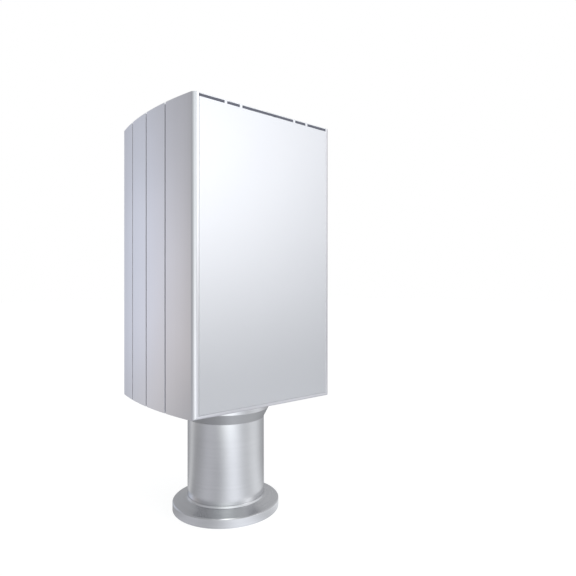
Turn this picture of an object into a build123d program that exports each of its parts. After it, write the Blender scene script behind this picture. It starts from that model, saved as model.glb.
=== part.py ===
"""Hot cathode ionization gauge with a DN 25 clamp flange, in millimetres.

The origin is the centre of the flange's sealing face, on the gauge axis.
+Z runs up the gauge, +X to the right along the front face, +Y to the back.
"""

import os
from math import atan2, cos, degrees, pi, radians, sin, sqrt, tan

from build123d import *

os.makedirs("parts", exist_ok=True)

# Port flange
flange_d = 40.0
flange_rim_h = 3.5
flange_cone_deg = 15.0
flange_edge_break = 0.3
ring_seat_d = 26.2
ring_seat_depth = 3.0
weld_lip_wall = 0.4
weld_lip_h = 0.8
tube_socket_web = 1.2

# Sensor tube
tube_d = 28.9
tube_wall = 1.95
neck_cone_h = 3.6
collar_step = 1.9
collar_in_view = 3.8
shoulder_reach = 2.25
shoulder_t = 1.5
header_seat_wall = 2.9
tube_top_above_header = 1.0

# Header, its glass seals and its pins
header_above_shoulder = 0.3
header_t = 2.0
glass_d = 2.6
pin_d = 1.0
pin_below_header = 4.5
pin_top_above_board = 1.2
grid_pin_x = 7.0
filament_pin_x = 4.0
filament_pin_y = 9.4
pin_sides = 8
glass_sides = 12

# Electrodes
grid_rod_d = 0.9
grid_rod_l = 32.0
grid_rod_below_grid = 2.5
grid_wire = 0.36
grid_pitch = 3.0
grid_turns = 8
grid_runs_per_turn = 16
filament_post_d = 0.8
filament_post_l = 7.5
filament_l = 20.0
filament_tip_w = 2.4
filament_tip_h = 1.4
filament_ribbon_w = 0.5
filament_ribbon_t = 0.15
collector_d = 0.3
collector_l = 31.0
weld_gap = 0.05

# Housing, a grooved extrusion
housing_z = 41.9
housing_h = 102.0
housing_depth = 54.2
front_y = -25.7
front_w = 59.8
rear_w = 55.8
side_bow = 2.6
back_bow = 1.2
corner_r = 1.8
housing_wall = 2.0
front_edge_r = 1.4
groove_count = 3
groove_first_y = -10.4
groove_pitch = 13.4
groove_w = 0.7
groove_depth = 0.8

# Screw ports and board guides inside the extrusion
port_inset = 3.0
port_d = 5.4
port_web = 2.4
port_hole_d = 2.5
port_slot_w = 1.2
guide_reach = 1.7
guide_rib_t = 1.2
board_t = 1.6
board_gap = 0.1
board_port_gap = 0.8

# Front panel foil and its printed bar
panel_w = 56.0
panel_t = 0.3
panel_top_margin = 0.1
panel_gap = 0.05
mark_h = 0.85
mark_t = 0.05
mark_below_top = 0.4
mark_gap_w = 1.1
mark_gap_x = (11.85, 17.9)

# Covers and their countersunk screws
cover_t = 2.5
cover_recess = 0.5
cover_gap = 0.15
cover_screw_d = 2.4
cover_hole_d = 2.8
screw_head_d = 4.7
screw_l = 10.0
screw_socket_af = 1.5
screw_socket_depth = 0.9
collar_gap = 0.15

# Sensor clamp
gasket_t = 0.8
clamp_ring_w = 3.8
clamp_ring_lip_t = 1.5
clamp_gap = 0.1
clamp_bore_gap = 0.65
clamp_screw_count = 3
clamp_screw_d = 1.9
clamp_hole_d = 2.2
clamp_head_d = 3.6
clamp_head_h = 1.4
clamp_screw_bite = 1.6
clamp_screw_tip_gap = 0.1
clamp_socket_af = 1.5

# Fifteen-pole D connector
contact_pitch = 2.77
contact_row_gap = 2.84
contact_d = 1.0
contact_rise = 5.0
contact_tail = 1.2
shell_end_gap = 2.5
shell_h = 7.5
shell_side_deg = 80.0
shell_corner_r = 2.2
shell_t = 0.5
shell_rise = 6.0
plate_end_reach = 2.95
plate_side_reach = 2.5
plate_t = 0.8
plate_corner_r = 1.2
pocket_gap = 0.4
cover_web = 1.2
cutout_gap = 0.3
jack_from_shell = 4.455
jack_af = 4.75
jack_h = 5.0
jack_thread_hole_d = 2.4
jack_thread_depth = 4.0
jack_stud_d = 2.84
jack_hole_gap = 0.2
clinch_nut_d = 4.8
clinch_nut_h = 2.2
insulator_rise = 0.6
insulator_end_reach = 0.1
insulator_side_reach = 1.45
insulator_depth = 5.3
fit_gap = 0.02

# Circuit boards
board_notch_gap = 1.2
board_end_gap = 0.2
cross_board_gap = 0.05
sensor_board_w = 40.0
sensor_board_above_tube = 2.5
top_board_w = 46.0
top_board_drop = 0.6
socket_wall = 0.4
socket_below_board = 1.3
socket_above_board = 1.5
board_hole_gap = 0.1
header_strip_l = 20.0
header_strip_t = 2.5

# Parts on the boards
can_socket_gap = 0.6
can_h = 7.0
can_wall = 0.4
can_corner_r = 1.0
capacitor_d = 8.0
capacitor_l = 11.0
capacitor_edge_break = 0.7
capacitor_x = 15.0
capacitor_drop = 19.0
capacitor_pitch = 10.5
capacitor_count = 3
core_w = 18.0
core_h = 15.0
core_t = 7.0
core_leg_w = 4.5
core_yoke_h = 2.8
core_x = -12.0
core_drop = 9.0
coil_t = 11.0
coil_gap = 0.2
chip_t = 1.2
chip_large = 12.0
chip_small_w = 6.0
chip_small_l = 9.0
chip_column_x = 14.0
chip_row_pitch = 16.0

# Heights of the housing and its covers
housing_top_z = housing_z + housing_h
housing_mid_z = housing_z + housing_h / 2
cover_seat_depth = cover_t + cover_recess
bottom_cover_z = housing_z + cover_recess
bottom_cover_top_z = bottom_cover_z + cover_t
top_cover_z = housing_top_z - cover_seat_depth
top_cover_top_z = top_cover_z + cover_t

# Rear corners of the housing and places of its four screw ports
rear_y = front_y + housing_depth
port_r = port_d / 2
front_port_x = front_w / 2 - housing_wall - port_inset
rear_port_x = rear_w / 2 - housing_wall - port_inset
front_port_y = front_y + housing_wall + port_inset
rear_port_y = rear_y - housing_wall - port_inset
screw_points = [
    (-front_port_x, front_port_y),
    (front_port_x, front_port_y),
    (rear_port_x, rear_port_y),
    (-rear_port_x, rear_port_y),
]

# Radii and heights of the sensor, which hangs by its shoulder from the bottom cover
flange_r = flange_d / 2
ring_seat_r = ring_seat_d / 2
tube_r = tube_d / 2
chamber_r = tube_r - tube_wall
lip_r = tube_r + weld_lip_wall
collar_r = tube_r + collar_step
shoulder_r = collar_r + shoulder_reach
header_r = collar_r - header_seat_wall
clamp_ring_r = shoulder_r + clamp_gap + clamp_ring_w
tube_socket_z = ring_seat_depth + tube_socket_web
neck_z = housing_z - collar_in_view - neck_cone_h
shoulder_z = bottom_cover_top_z + gasket_t
clamp_lip_z = shoulder_z + shoulder_t
clamp_top_z = clamp_lip_z + clamp_ring_lip_t
header_z = shoulder_z + header_above_shoulder
tube_top_z = header_z + header_t + tube_top_above_header

# Pins, and the heights of the electrodes that hang from them
pin_r = pin_d / 2
socket_r = pin_r + socket_wall
pin_end_z = header_z - pin_below_header
grid_rod_end_z = pin_end_z - grid_rod_l
grid_bottom_z = grid_rod_end_z + grid_rod_below_grid
filament_post_end_z = pin_end_z - filament_post_l
filament_end_z = filament_post_end_z - filament_l
collector_end_z = pin_end_z - collector_l
grid_pins = [(-grid_pin_x, 0), (grid_pin_x, 0)]
filament_pins = [(x, y) for x in (-filament_pin_x, filament_pin_x) for y in (-filament_pin_y, filament_pin_y)]
all_pins = [(0, 0)] + grid_pins + filament_pins

# Connector sizes that follow from its contacts and its shell, and its heights
shell_w = 7 * contact_pitch + 2 * shell_end_gap
jack_spacing = shell_w + 2 * jack_from_shell
plate_w = jack_spacing + 2 * plate_end_reach
plate_h = shell_h + 2 * plate_side_reach
insulator_w = shell_w + 2 * insulator_end_reach
insulator_h = shell_h + 2 * insulator_side_reach
plate_top_z = top_cover_top_z - cover_web
plate_z = plate_top_z - plate_t
insulator_z = plate_z - insulator_depth
jack_points = [(-jack_spacing / 2, 0), (jack_spacing / 2, 0)]
contact_points = [(contact_pitch * (i - 3.5), -contact_row_gap / 2) for i in range(8)]
contact_points += [(contact_pitch * (i - 3), contact_row_gap / 2) for i in range(7)]

# Places of the boards: two upright ones inside the screw ports, two lying between them
board_y = min(-front_port_y, rear_port_y) - port_r - board_port_gap - board_t / 2
board_face_y = board_y - board_t / 2
cross_board_d = 2 * (board_face_y - cross_board_gap)
sensor_board_z = tube_top_z + sensor_board_above_tube
sensor_board_top_z = sensor_board_z + board_t
top_board_top_z = insulator_z - top_board_drop
top_board_z = top_board_top_z - board_t


# Outline of the extrusion: a flat front, two bowed sides with crisp rear corners, a slightly bowed back
with BuildSketch() as outline:
    with BuildLine():
        front_line = Line((-front_w / 2, front_y), (front_w / 2, front_y))
        right_side = SagittaArc(front_line @ 1, (rear_w / 2, rear_y), -side_bow)
        back_line = SagittaArc(right_side @ 1, (-rear_w / 2, rear_y), -back_bow)
        SagittaArc(back_line @ 1, front_line @ 0, -side_bow)
    make_face()
    fillet(outline.vertices().group_by(Axis.Y)[0], radius=corner_r)


def inset(amount):
    """The extrusion's outline, moved inwards by an amount."""
    with BuildSketch() as smaller:
        add(outline.sketch)
        offset(amount=-amount, mode=Mode.REPLACE)
    return smaller.sketch


cavity = inset(housing_wall)
cover_outline = inset(housing_wall + cover_gap)


def clear_width(y):
    """Width between the housing's side walls where an upright board stands."""
    with BuildSketch() as strip:
        with Locations((0, y)):
            Rectangle(2 * front_w, board_t)
        add(cavity, mode=Mode.INTERSECT)
    return min(edge.length for edge in strip.edges().filter_by(Axis.X))


# Three fine grooves down each side
with BuildSketch() as side_grooves:
    with Locations(*[(0, groove_first_y + i * groove_pitch) for i in range(groove_count)]):
        Rectangle(front_w + 4 * side_bow, groove_w)
    add(inset(groove_depth), mode=Mode.SUBTRACT)

# Screw ports in the corners, each held by two webs, and four pairs of ribs that guide the boards
with BuildSketch() as inner_ribs:
    with Locations(*screw_points):
        Circle(port_r)
    for x, y in screw_points:
        side = 1 if x > 0 else -1
        end = 1 if y > 0 else -1
        with Locations((x + side * port_r, y)):
            Rectangle(port_d, port_web)
        with Locations((x, y + end * port_r)):
            Rectangle(port_web, port_d)
    with BuildSketch(mode=Mode.PRIVATE) as guide_ribs:
        rib_offset = board_t / 2 + board_gap + guide_rib_t / 2
        with Locations(*[(0, s * board_y + t * rib_offset) for s in (-1, 1) for t in (-1, 1)]):
            Rectangle(front_w + 4 * side_bow, guide_rib_t)
        add(inset(housing_wall + guide_reach), mode=Mode.SUBTRACT)
    add(guide_ribs.sketch)
    add(outline.sketch, mode=Mode.INTERSECT)

with BuildPart() as housing:
    with BuildSketch(Plane.XY.offset(housing_z)):
        add(outline.sketch)
        add(side_grooves.sketch, mode=Mode.SUBTRACT)
        add(cavity, mode=Mode.SUBTRACT)
        add(inner_ribs.sketch)
        with Locations(*screw_points):
            Circle(port_hole_d / 2, mode=Mode.SUBTRACT)
        with Locations(*[Location((x, y), degrees(atan2(-y, -x))) for x, y in screw_points]):
            Rectangle(port_d, port_slot_w, align=(Align.MIN, Align.CENTER), mode=Mode.SUBTRACT)
    extrude(amount=housing_h)
    with BuildSketch(Plane.XY.offset(housing_z), Plane.XY.offset(top_cover_z)):
        add(cavity)
    extrude(amount=cover_seat_depth, mode=Mode.SUBTRACT)
    with BuildSketch(Plane.YZ):
        with BuildLine():
            edge_low = (front_y + front_edge_r, housing_z)
            edge_high = (front_y, housing_z + front_edge_r)
            Polyline(edge_high, (front_y, housing_z), edge_low)
            RadiusArc(edge_low, edge_high, front_edge_r)
        make_face()
    extrude(amount=front_w, both=True, mode=Mode.SUBTRACT)
    with BuildSketch(Plane.XZ.offset(-front_y)):
        with Locations((0, housing_z + front_edge_r)):
            Rectangle(panel_w, housing_h, align=(Align.CENTER, Align.MIN))
    extrude(amount=-panel_t, mode=Mode.SUBTRACT)
housing.part.label = "housing"
export_step(housing.part, "parts/housing.step")

# Front foil in its shallow recess, and the printed bar along its upper edge
panel_z = housing_z + front_edge_r + panel_gap
panel_h = housing_top_z - panel_top_margin - panel_z
with BuildPart() as front_panel:
    with BuildSketch(Plane.XZ.offset(-front_y)):
        with Locations((0, panel_z)):
            Rectangle(panel_w - 2 * panel_gap, panel_h, align=(Align.CENTER, Align.MIN))
    extrude(amount=-panel_t)
front_panel.part.label = "front_panel"
export_step(front_panel.part, "parts/front_panel.step")

with BuildPart() as front_panel_marks:
    with BuildSketch(Plane.XZ.offset(-front_y)):
        with Locations((0, housing_top_z - mark_below_top)):
            Rectangle(panel_w - 2 * panel_gap, mark_h, align=(Align.CENTER, Align.MAX))
        with Locations(*[(s * x, housing_top_z - mark_below_top) for s in (-1, 1) for x in mark_gap_x]):
            Rectangle(mark_gap_w, 3 * mark_h, mode=Mode.SUBTRACT)
    extrude(amount=mark_t)
front_panel_marks.part.label = "front_panel_marks"
export_step(front_panel_marks.part, "parts/front_panel_marks.step")


def d_outline(grow):
    """The D-shaped opening of the connector's shell, moved outwards by an amount."""
    with BuildSketch() as shape:
        Trapezoid(shell_w, shell_h, shell_side_deg)
        fillet(shape.vertices(), radius=shell_corner_r)
        if grow:
            offset(amount=grow, mode=Mode.REPLACE)
    return shape.sketch


# Top cover, with a pocket on its underside for the connector's plate
with BuildPart() as top_cover:
    with BuildSketch(Plane.XY.offset(top_cover_z)):
        add(cover_outline)
    extrude(amount=cover_t)
    with BuildSketch(Plane.XY.offset(top_cover_z)):
        RectangleRounded(plate_w + 2 * pocket_gap, plate_h + 2 * pocket_gap, plate_corner_r)
    extrude(amount=cover_t - cover_web, mode=Mode.SUBTRACT)
    with BuildSketch(Plane.XY.offset(top_cover_z)):
        add(d_outline(shell_t + cutout_gap))
        with Locations(*jack_points):
            Circle(jack_stud_d / 2 + jack_hole_gap)
    extrude(amount=cover_t, mode=Mode.SUBTRACT)
    with Locations(*[(x, y, top_cover_top_z) for x, y in screw_points]):
        CounterSinkHole(cover_hole_d / 2, screw_head_d / 2 + fit_gap, counter_sink_angle=90)
top_cover.part.label = "top_cover"
export_step(top_cover.part, "parts/top_cover.step")

# Bottom cover, with the hole for the sensor's collar and three tapped holes for its clamp
clamp_screw_at_r = shoulder_r + clamp_gap + clamp_ring_w / 2
clamp_points = PolarLocations(clamp_screw_at_r, clamp_screw_count, start_angle=90).locations
with BuildPart() as bottom_cover:
    with BuildSketch(Plane.XY.offset(bottom_cover_z)):
        add(cover_outline)
        Circle(collar_r + collar_gap, mode=Mode.SUBTRACT)
    extrude(amount=cover_t)
    with Locations(*[Location((x, y, bottom_cover_z), (180, 0, 0)) for x, y in screw_points]):
        CounterSinkHole(cover_hole_d / 2, screw_head_d / 2 + fit_gap, counter_sink_angle=90)
    with Locations(*[(p.position.X, p.position.Y, bottom_cover_top_z) for p in clamp_points]):
        Hole(clamp_screw_d / 2 + fit_gap, depth=clamp_screw_bite + clamp_screw_tip_gap)
bottom_cover.part.label = "bottom_cover"
export_step(bottom_cover.part, "parts/bottom_cover.step")

# Countersunk screw, its head's top at the origin and its shank down -Z
with BuildPart() as cover_screw:
    with BuildSketch(Plane.XZ):
        with BuildLine():
            Polyline(
                (0, 0),
                (screw_head_d / 2, 0),
                (cover_screw_d / 2, -(screw_head_d - cover_screw_d) / 2),
                (cover_screw_d / 2, -screw_l),
                (0, -screw_l),
                close=True,
            )
        make_face()
    revolve(axis=Axis.Z)
    with BuildSketch():
        RegularPolygon(screw_socket_af / 2, 6, major_radius=False)
    extrude(amount=-screw_socket_depth, mode=Mode.SUBTRACT)

with BuildPart() as top_cover_screws:
    with Locations(*[(x, y, top_cover_top_z) for x, y in screw_points]):
        add(cover_screw.part)
top_cover_screws.part.label = "top_cover_screws"
export_step(top_cover_screws.part, "parts/top_cover_screws.step")

with BuildPart() as bottom_cover_screws:
    with Locations(*[Location((x, y, bottom_cover_z), (180, 0, 0)) for x, y in screw_points]):
        add(cover_screw.part)
bottom_cover_screws.part.label = "bottom_cover_screws"
export_step(bottom_cover_screws.part, "parts/bottom_cover_screws.step")

# Connector: drawn shell with its plate, insulator, contacts, jack screws and clinch nuts
with BuildPart() as connector_shell:
    with BuildSketch(Plane.XY.offset(plate_z)):
        RectangleRounded(plate_w, plate_h, plate_corner_r)
        add(d_outline(0), mode=Mode.SUBTRACT)
        with Locations(*jack_points):
            Circle(jack_stud_d / 2 + jack_hole_gap, mode=Mode.SUBTRACT)
    extrude(amount=plate_t)
    with BuildSketch(Plane.XY.offset(plate_z)):
        add(d_outline(shell_t))
        add(d_outline(0), mode=Mode.SUBTRACT)
    extrude(amount=plate_t + shell_rise)
connector_shell.part.label = "connector_shell"
export_step(connector_shell.part, "parts/connector_shell.step")

with BuildPart() as connector_insulator:
    with BuildSketch(Plane.XY.offset(insulator_z)):
        RectangleRounded(insulator_w, insulator_h, plate_corner_r)
        with Locations(*contact_points):
            RegularPolygon(contact_d / 2 + fit_gap, pin_sides, mode=Mode.SUBTRACT)
    extrude(amount=insulator_depth)
    with BuildSketch(Plane.XY.offset(plate_z)):
        add(d_outline(-fit_gap))
        with Locations(*contact_points):
            RegularPolygon(contact_d / 2 + fit_gap, pin_sides, mode=Mode.SUBTRACT)
    extrude(amount=plate_t + insulator_rise)
connector_insulator.part.label = "connector_insulator"
export_step(connector_insulator.part, "parts/connector_insulator.step")

contact_z = top_board_z - contact_tail
contact_top_z = plate_top_z + insulator_rise + contact_rise
with BuildPart() as connector_contacts:
    with BuildSketch(Plane.XY.offset(contact_z)):
        with Locations(*contact_points):
            RegularPolygon(contact_d / 2, pin_sides)
    extrude(amount=contact_top_z - contact_z)
connector_contacts.part.label = "connector_contacts"
export_step(connector_contacts.part, "parts/connector_contacts.step")

jack_stud_l = top_cover_top_z - plate_z + clinch_nut_h
with BuildPart() as connector_jack_screws:
    with BuildSketch(Plane.XY.offset(top_cover_top_z)):
        with Locations(*jack_points):
            RegularPolygon(jack_af / 2, 6, major_radius=False)
    extrude(amount=jack_h)
    with BuildSketch(Plane.XY.offset(top_cover_top_z)):
        with Locations(*jack_points):
            Circle(jack_stud_d / 2)
    extrude(amount=-jack_stud_l)
    with Locations(*[(x, y, top_cover_top_z + jack_h) for x, y in jack_points]):
        Hole(jack_thread_hole_d / 2, depth=jack_thread_depth)
connector_jack_screws.part.label = "connector_jack_screws"
export_step(connector_jack_screws.part, "parts/connector_jack_screws.step")

with BuildPart() as connector_clinch_nuts:
    with BuildSketch(Plane.XY.offset(plate_z)):
        with Locations(*jack_points):
            RegularPolygon(clinch_nut_d / 2, 6)
            Circle(jack_stud_d / 2 + fit_gap, mode=Mode.SUBTRACT)
    extrude(amount=-clinch_nut_h)
connector_clinch_nuts.part.label = "connector_clinch_nuts"
export_step(connector_clinch_nuts.part, "parts/connector_clinch_nuts.step")

# Clamp flange: rim, back cone, weld lip around the tube, and the seat of the centring ring
cone_slope = tan(radians(flange_cone_deg))
cone_start_r = flange_r - flange_edge_break
cone_lip_z = flange_rim_h + (cone_start_r - lip_r) * cone_slope
weld_lip_top_z = cone_lip_z + weld_lip_h
with BuildPart() as port_flange:
    with BuildSketch(Plane.XZ):
        with BuildLine():
            Polyline(
                (ring_seat_r, 0),
                (flange_r - flange_edge_break, 0),
                (flange_r, flange_edge_break),
                (flange_r, flange_rim_h - flange_edge_break),
                (cone_start_r, flange_rim_h),
                (lip_r, cone_lip_z),
                (lip_r, weld_lip_top_z),
                (tube_r, weld_lip_top_z),
                (tube_r, tube_socket_z),
                (chamber_r, tube_socket_z),
                (chamber_r, ring_seat_depth),
                (ring_seat_r, ring_seat_depth),
                close=True,
            )
        make_face()
    revolve(axis=Axis.Z)
port_flange.part.label = "port_flange"
export_step(port_flange.part, "parts/port_flange.step")

# Sensor tube: straight tube, neck cone, collar, clamped shoulder and the header's seat
with BuildPart() as sensor_tube:
    with BuildSketch(Plane.XZ):
        with BuildLine():
            Polyline(
                (chamber_r, tube_socket_z),
                (tube_r, tube_socket_z),
                (tube_r, neck_z),
                (collar_r, neck_z + neck_cone_h),
                (collar_r, shoulder_z),
                (shoulder_r, shoulder_z),
                (shoulder_r, clamp_lip_z),
                (collar_r, clamp_lip_z),
                (collar_r, tube_top_z),
                (header_r, tube_top_z),
                (header_r, header_z),
                (chamber_r, header_z),
                close=True,
            )
        make_face()
    revolve(axis=Axis.Z)
sensor_tube.part.label = "sensor_tube"
export_step(sensor_tube.part, "parts/sensor_tube.step")

with BuildPart() as tube_gasket:
    with BuildSketch(Plane.XY.offset(bottom_cover_top_z)):
        Circle(shoulder_r)
        Circle(collar_r + collar_gap, mode=Mode.SUBTRACT)
    extrude(amount=gasket_t)
tube_gasket.part.label = "tube_gasket"
export_step(tube_gasket.part, "parts/tube_gasket.step")

# Clamp ring over the shoulder, with its three screws
with BuildPart() as clamp_ring:
    with BuildSketch(Plane.XZ):
        with BuildLine():
            Polyline(
                (shoulder_r + clamp_gap, bottom_cover_top_z),
                (clamp_ring_r, bottom_cover_top_z),
                (clamp_ring_r, clamp_top_z),
                (collar_r + clamp_bore_gap, clamp_top_z),
                (collar_r + clamp_bore_gap, clamp_lip_z),
                (shoulder_r + clamp_gap, clamp_lip_z),
                close=True,
            )
        make_face()
    revolve(axis=Axis.Z)
    with Locations(*[(p.position.X, p.position.Y, clamp_top_z) for p in clamp_points]):
        Hole(clamp_hole_d / 2)
clamp_ring.part.label = "clamp_ring"
export_step(clamp_ring.part, "parts/clamp_ring.step")

with BuildPart() as clamp_ring_screws:
    with BuildSketch(Plane.XY.offset(clamp_top_z)):
        with Locations(*clamp_points):
            Circle(clamp_head_d / 2)
            RegularPolygon(clamp_socket_af / 2, 6, major_radius=False, mode=Mode.SUBTRACT)
    extrude(amount=clamp_head_h)
    with BuildSketch(Plane.XY.offset(clamp_top_z)):
        with Locations(*clamp_points):
            Circle(clamp_head_d / 2)
    extrude(amount=clamp_head_h / 3)
    with BuildSketch(Plane.XY.offset(bottom_cover_top_z - clamp_screw_bite)):
        with Locations(*clamp_points):
            Circle(clamp_screw_d / 2)
    extrude(amount=clamp_top_z - bottom_cover_top_z + clamp_screw_bite)
clamp_ring_screws.part.label = "clamp_ring_screws"
export_step(clamp_ring_screws.part, "parts/clamp_ring_screws.step")

# Header with glass-sealed pins
with BuildPart() as feedthrough_header:
    with BuildSketch(Plane.XY.offset(header_z)):
        Circle(header_r - fit_gap)
        with Locations(*all_pins):
            RegularPolygon(glass_d / 2, glass_sides, mode=Mode.SUBTRACT)
    extrude(amount=header_t)
feedthrough_header.part.label = "feedthrough_header"
export_step(feedthrough_header.part, "parts/feedthrough_header.step")

with BuildPart() as glass_seals:
    with BuildSketch(Plane.XY.offset(header_z)):
        with Locations(*all_pins):
            RegularPolygon(glass_d / 2, glass_sides)
            RegularPolygon(pin_r, pin_sides, mode=Mode.SUBTRACT)
    extrude(amount=header_t)
glass_seals.part.label = "glass_seals"
export_step(glass_seals.part, "parts/glass_seals.step")

with BuildPart() as feedthrough_pins:
    with BuildSketch(Plane.XY.offset(pin_end_z)):
        with Locations(*all_pins):
            RegularPolygon(pin_r, pin_sides)
    extrude(amount=sensor_board_top_z + pin_top_above_board - pin_end_z)
feedthrough_pins.part.label = "feedthrough_pins"
export_step(feedthrough_pins.part, "parts/feedthrough_pins.step")

# Anode grid: a square wire wound in short straight runs between two rods
grid_r = grid_pin_x - grid_rod_d / 2 - grid_wire / sqrt(2) - weld_gap
grid_points = []
for i in range(grid_turns * grid_runs_per_turn + 1):
    angle = 2 * pi * i / grid_runs_per_turn
    grid_points.append((grid_r * cos(angle), grid_r * sin(angle), grid_bottom_z + grid_pitch * i / grid_runs_per_turn))
with BuildPart() as anode_grid:
    with BuildLine() as grid_path:
        Polyline(*grid_points)
    with BuildSketch(Plane(origin=grid_path.line @ 0, x_dir=(1, 0, 0), z_dir=grid_path.line % 0)):
        Rectangle(grid_wire, grid_wire)
    sweep(transition=Transition.RIGHT)
anode_grid.part.label = "anode_grid"
export_step(anode_grid.part, "parts/anode_grid.step")

with BuildPart() as grid_rods:
    with BuildSketch(Plane.XY.offset(grid_rod_end_z)):
        with Locations(*grid_pins):
            Circle(grid_rod_d / 2)
    extrude(amount=pin_end_z - grid_rod_end_z)
grid_rods.part.label = "grid_rods"
export_step(grid_rods.part, "parts/grid_rods.step")

# Two hairpin cathodes of coated ribbon beside the grid, each welded under its two posts
with BuildPart() as cathode_filaments:
    for y in (-filament_pin_y, filament_pin_y):
        with BuildLine() as hairpin:
            Polyline(
                (-filament_pin_x, y, filament_post_end_z - weld_gap),
                (-filament_tip_w / 2, y, filament_end_z + filament_tip_h),
                (0, y, filament_end_z),
                (filament_tip_w / 2, y, filament_end_z + filament_tip_h),
                (filament_pin_x, y, filament_post_end_z - weld_gap),
            )
        with BuildSketch(Plane(origin=hairpin.line @ 0, x_dir=(0, 1, 0), z_dir=hairpin.line % 0)):
            Rectangle(filament_ribbon_w, filament_ribbon_t)
        sweep(path=hairpin.line, transition=Transition.RIGHT)
cathode_filaments.part.label = "cathode_filaments"
export_step(cathode_filaments.part, "parts/cathode_filaments.step")

with BuildPart() as filament_posts:
    with BuildSketch(Plane.XY.offset(filament_post_end_z)):
        with Locations(*filament_pins):
            RegularPolygon(filament_post_d / 2, pin_sides)
    extrude(amount=pin_end_z - filament_post_end_z)
filament_posts.part.label = "filament_posts"
export_step(filament_posts.part, "parts/filament_posts.step")

with BuildPart() as ion_collector:
    with BuildSketch(Plane.XY.offset(collector_end_z)):
        RegularPolygon(collector_d / 2, pin_sides)
    extrude(amount=pin_end_z - collector_end_z)
ion_collector.part.label = "ion_collector"
export_step(ion_collector.part, "parts/ion_collector.step")


def upright_board(y):
    """A board that stands in the housing's guides, notched over the sensor clamp."""
    low_z = bottom_cover_top_z + board_end_gap
    board_w = clear_width(y) - 2 * board_gap
    board_h = top_cover_z - board_end_gap - low_z
    notch_w = 2 * (clamp_ring_r + board_notch_gap)
    notch_h = clamp_top_z + clamp_head_h + board_notch_gap - low_z
    with BuildPart() as board:
        with BuildSketch(Plane.XZ.offset(-y)):
            with Locations((0, low_z)):
                Rectangle(board_w, board_h, align=(Align.CENTER, Align.MIN))
                Rectangle(notch_w, notch_h, align=(Align.CENTER, Align.MIN), mode=Mode.SUBTRACT)
        extrude(amount=board_t / 2, both=True)
    return board


main_board = upright_board(-board_y)
main_board.part.label = "main_board"
export_step(main_board.part, "parts/main_board.step")

power_board = upright_board(board_y)
power_board.part.label = "power_board"
export_step(power_board.part, "parts/power_board.step")

# Two boards that lie between the upright ones
with BuildPart() as sensor_board:
    with BuildSketch(Plane.XY.offset(sensor_board_z)):
        Rectangle(sensor_board_w, cross_board_d)
        with Locations(*all_pins):
            RegularPolygon(socket_r + board_hole_gap, pin_sides, mode=Mode.SUBTRACT)
    extrude(amount=board_t)
sensor_board.part.label = "sensor_board"
export_step(sensor_board.part, "parts/sensor_board.step")

with BuildPart() as top_board:
    with BuildSketch(Plane.XY.offset(top_board_z)):
        Rectangle(top_board_w, cross_board_d)
        with Locations(*contact_points):
            RegularPolygon(contact_d / 2 + board_hole_gap, pin_sides, mode=Mode.SUBTRACT)
    extrude(amount=board_t)
top_board.part.label = "top_board"
export_step(top_board.part, "parts/top_board.step")

with BuildPart() as pin_sockets:
    with BuildSketch(Plane.XY.offset(sensor_board_z - socket_below_board)):
        with Locations(*all_pins):
            RegularPolygon(socket_r, pin_sides)
            RegularPolygon(pin_r + fit_gap, pin_sides, mode=Mode.SUBTRACT)
    extrude(amount=socket_below_board + board_t + socket_above_board)
pin_sockets.part.label = "pin_sockets"
export_step(pin_sockets.part, "parts/pin_sockets.step")

# Header strips that join the lying boards to the upright ones
strip_y = board_face_y - cross_board_gap - header_strip_t / 2
with BuildPart() as board_connectors:
    with BuildSketch(Plane.XY.offset(sensor_board_top_z), Plane.XY.offset(top_board_z - header_strip_t)):
        with Locations((0, -strip_y), (0, strip_y)):
            Rectangle(header_strip_l, header_strip_t)
    extrude(amount=header_strip_t)
board_connectors.part.label = "board_connectors"
export_step(board_connectors.part, "parts/board_connectors.step")

# Screening can over the electrometer at the collector's pin, between the sockets of the grid's pins
can_w = 2 * (grid_pin_x - socket_r - can_socket_gap)
with BuildPart() as electrometer_can:
    with BuildSketch(Plane.XY.offset(sensor_board_top_z)):
        RectangleRounded(can_w, can_w, can_corner_r)
    extrude(amount=can_h)
    chamfer(electrometer_can.edges().group_by(Axis.Z)[-1], length=can_wall / 2)
    with BuildSketch(Plane.XY.offset(sensor_board_top_z)):
        RectangleRounded(can_w - 2 * can_wall, can_w - 2 * can_wall, can_corner_r - can_wall)
    extrude(amount=can_h - can_wall, mode=Mode.SUBTRACT)
electrometer_can.part.label = "electrometer_can"
export_step(electrometer_can.part, "parts/electrometer_can.step")

# Supply parts on the power board, facing the middle of the housing
capacitor_z = housing_mid_z - capacitor_drop
with BuildPart() as power_capacitors:
    with BuildSketch(Plane.XZ.offset(-board_face_y)):
        with Locations(*[(capacitor_x, capacitor_z + i * capacitor_pitch) for i in range(capacitor_count)]):
            Circle(capacitor_d / 2)
    extrude(amount=capacitor_l)
    chamfer(power_capacitors.edges().group_by(Axis.Y)[0], length=capacitor_edge_break)
power_capacitors.part.label = "power_capacitors"
export_step(power_capacitors.part, "parts/power_capacitors.step")

window_w = (core_w - 3 * core_leg_w) / 2
window_h = core_h - 2 * core_yoke_h
core_y = board_face_y - coil_t / 2
core_z = housing_mid_z - core_drop
with BuildPart() as transformer_core:
    with BuildSketch(Plane.XZ.offset(-core_y)):
        with Locations((core_x, core_z)):
            Rectangle(core_w, core_h)
        for side in (-1, 1):
            with Locations((core_x + side * (core_leg_w + window_w) / 2, core_z)):
                Rectangle(window_w, window_h, mode=Mode.SUBTRACT)
    extrude(amount=core_t / 2, both=True)
transformer_core.part.label = "transformer_core"
export_step(transformer_core.part, "parts/transformer_core.step")

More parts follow.
